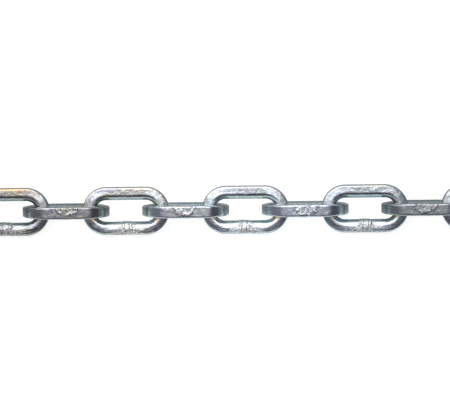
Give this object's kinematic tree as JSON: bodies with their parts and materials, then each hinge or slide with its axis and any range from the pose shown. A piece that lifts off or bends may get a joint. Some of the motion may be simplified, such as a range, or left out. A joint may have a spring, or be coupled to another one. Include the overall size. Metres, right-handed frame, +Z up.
{
  "type": "steel chain",
  "caption": "Straight length of welded zinc-plated steel chain with links of square bar, for locking, hanging or tying down.",
  "frame": {"origin": "on the floor under the middle of the straight chain, at the bottom centre of its box", "axes": "+X along the chain from link_01 to link_22, +Z up; links lean 45 degrees to -Y and +Y by turns"},
  "size_m": [1.0106, 0.0314, 0.0314],
  "materials": {
    "zinc_plated_steel": "bright zinc plating, fairly smooth, with drawn and trimmed marks"
  },
  "bodies": {
    "link_01": {"link_01": "zinc_plated_steel"},
    "link_02": {"link_02": "zinc_plated_steel"},
    "link_03": {"link_03": "zinc_plated_steel"},
    "link_04": {"link_04": "zinc_plated_steel"},
    "link_05": {"link_05": "zinc_plated_steel"},
    "link_06": {"link_06": "zinc_plated_steel"},
    "link_07": {"link_07": "zinc_plated_steel"},
    "link_08": {"link_08": "zinc_plated_steel"},
    "link_09": {"link_09": "zinc_plated_steel"},
    "link_10": {"link_10": "zinc_plated_steel"},
    "link_11": {"link_11": "zinc_plated_steel"},
    "link_12": {"link_12": "zinc_plated_steel"},
    "link_13": {"link_13": "zinc_plated_steel"},
    "link_14": {"link_14": "zinc_plated_steel"},
    "link_15": {"link_15": "zinc_plated_steel"},
    "link_16": {"link_16": "zinc_plated_steel"},
    "link_17": {"link_17": "zinc_plated_steel"},
    "link_18": {"link_18": "zinc_plated_steel"},
    "link_19": {"link_19": "zinc_plated_steel"},
    "link_20": {"link_20": "zinc_plated_steel"},
    "link_21": {"link_21": "zinc_plated_steel"},
    "link_22": {"link_22": "zinc_plated_steel"}
  },
  "joints": [
    {"name": "swing_02", "type": "hinge", "parent": "link_01", "child": "link_02", "pos_m": [-0.444, 0, 0.0157], "axis": [0, 0.7071, -0.7071], "range_deg": [-120, 120]},
    {"name": "swing_03", "type": "hinge", "parent": "link_02", "child": "link_03", "pos_m": [-0.399, 0, 0.0157], "axis": [0, -0.7071, -0.7071], "range_deg": [-120, 120]},
    {"name": "swing_04", "type": "hinge", "parent": "link_03", "child": "link_04", "pos_m": [-0.354, 0, 0.0157], "axis": [0, -0.7071, 0.7071], "range_deg": [-120, 120]},
    {"name": "swing_05", "type": "hinge", "parent": "link_04", "child": "link_05", "pos_m": [-0.309, 0, 0.0157], "axis": [0, 0.7071, 0.7071], "range_deg": [-120, 120]},
    {"name": "swing_06", "type": "hinge", "parent": "link_05", "child": "link_06", "pos_m": [-0.264, 0, 0.0157], "axis": [0, 0.7071, -0.7071], "range_deg": [-120, 120]},
    {"name": "swing_07", "type": "hinge", "parent": "link_06", "child": "link_07", "pos_m": [-0.219, 0, 0.0157], "axis": [0, -0.7071, -0.7071], "range_deg": [-120, 120]},
    {"name": "swing_08", "type": "hinge", "parent": "link_07", "child": "link_08", "pos_m": [-0.174, 0, 0.0157], "axis": [0, -0.7071, 0.7071], "range_deg": [-120, 120]},
    {"name": "swing_09", "type": "hinge", "parent": "link_08", "child": "link_09", "pos_m": [-0.129, 0, 0.0157], "axis": [0, 0.7071, 0.7071], "range_deg": [-120, 120]},
    {"name": "swing_10", "type": "hinge", "parent": "link_09", "child": "link_10", "pos_m": [-0.084, 0, 0.0157], "axis": [0, 0.7071, -0.7071], "range_deg": [-120, 120]},
    {"name": "swing_11", "type": "hinge", "parent": "link_10", "child": "link_11", "pos_m": [-0.039, 0, 0.0157], "axis": [0, -0.7071, -0.7071], "range_deg": [-120, 120]},
    {"name": "swing_12", "type": "hinge", "parent": "link_11", "child": "link_12", "pos_m": [0.006, 0, 0.0157], "axis": [0, -0.7071, 0.7071], "range_deg": [-120, 120]},
    {"name": "swing_13", "type": "hinge", "parent": "link_12", "child": "link_13", "pos_m": [0.051, 0, 0.0157], "axis": [0, 0.7071, 0.7071], "range_deg": [-120, 120]},
    {"name": "swing_14", "type": "hinge", "parent": "link_13", "child": "link_14", "pos_m": [0.096, 0, 0.0157], "axis": [0, 0.7071, -0.7071], "range_deg": [-120, 120]},
    {"name": "swing_15", "type": "hinge", "parent": "link_14", "child": "link_15", "pos_m": [0.141, 0, 0.0157], "axis": [0, -0.7071, -0.7071], "range_deg": [-120, 120]},
    {"name": "swing_16", "type": "hinge", "parent": "link_15", "child": "link_16", "pos_m": [0.186, 0, 0.0157], "axis": [0, -0.7071, 0.7071], "range_deg": [-120, 120]},
    {"name": "swing_17", "type": "hinge", "parent": "link_16", "child": "link_17", "pos_m": [0.231, 0, 0.0157], "axis": [0, 0.7071, 0.7071], "range_deg": [-120, 120]},
    {"name": "swing_18", "type": "hinge", "parent": "link_17", "child": "link_18", "pos_m": [0.276, 0, 0.0157], "axis": [0, 0.7071, -0.7071], "range_deg": [-120, 120]},
    {"name": "swing_19", "type": "hinge", "parent": "link_18", "child": "link_19", "pos_m": [0.321, 0, 0.0157], "axis": [0, -0.7071, -0.7071], "range_deg": [-120, 120]},
    {"name": "swing_20", "type": "hinge", "parent": "link_19", "child": "link_20", "pos_m": [0.366, 0, 0.0157], "axis": [0, -0.7071, 0.7071], "range_deg": [-120, 120]},
    {"name": "swing_21", "type": "hinge", "parent": "link_20", "child": "link_21", "pos_m": [0.411, 0, 0.0157], "axis": [0, 0.7071, 0.7071], "range_deg": [-120, 120]},
    {"name": "swing_22", "type": "hinge", "parent": "link_21", "child": "link_22", "pos_m": [0.456, 0, 0.0157], "axis": [0, 0.7071, -0.7071], "range_deg": [-120, 120]}
  ]
}
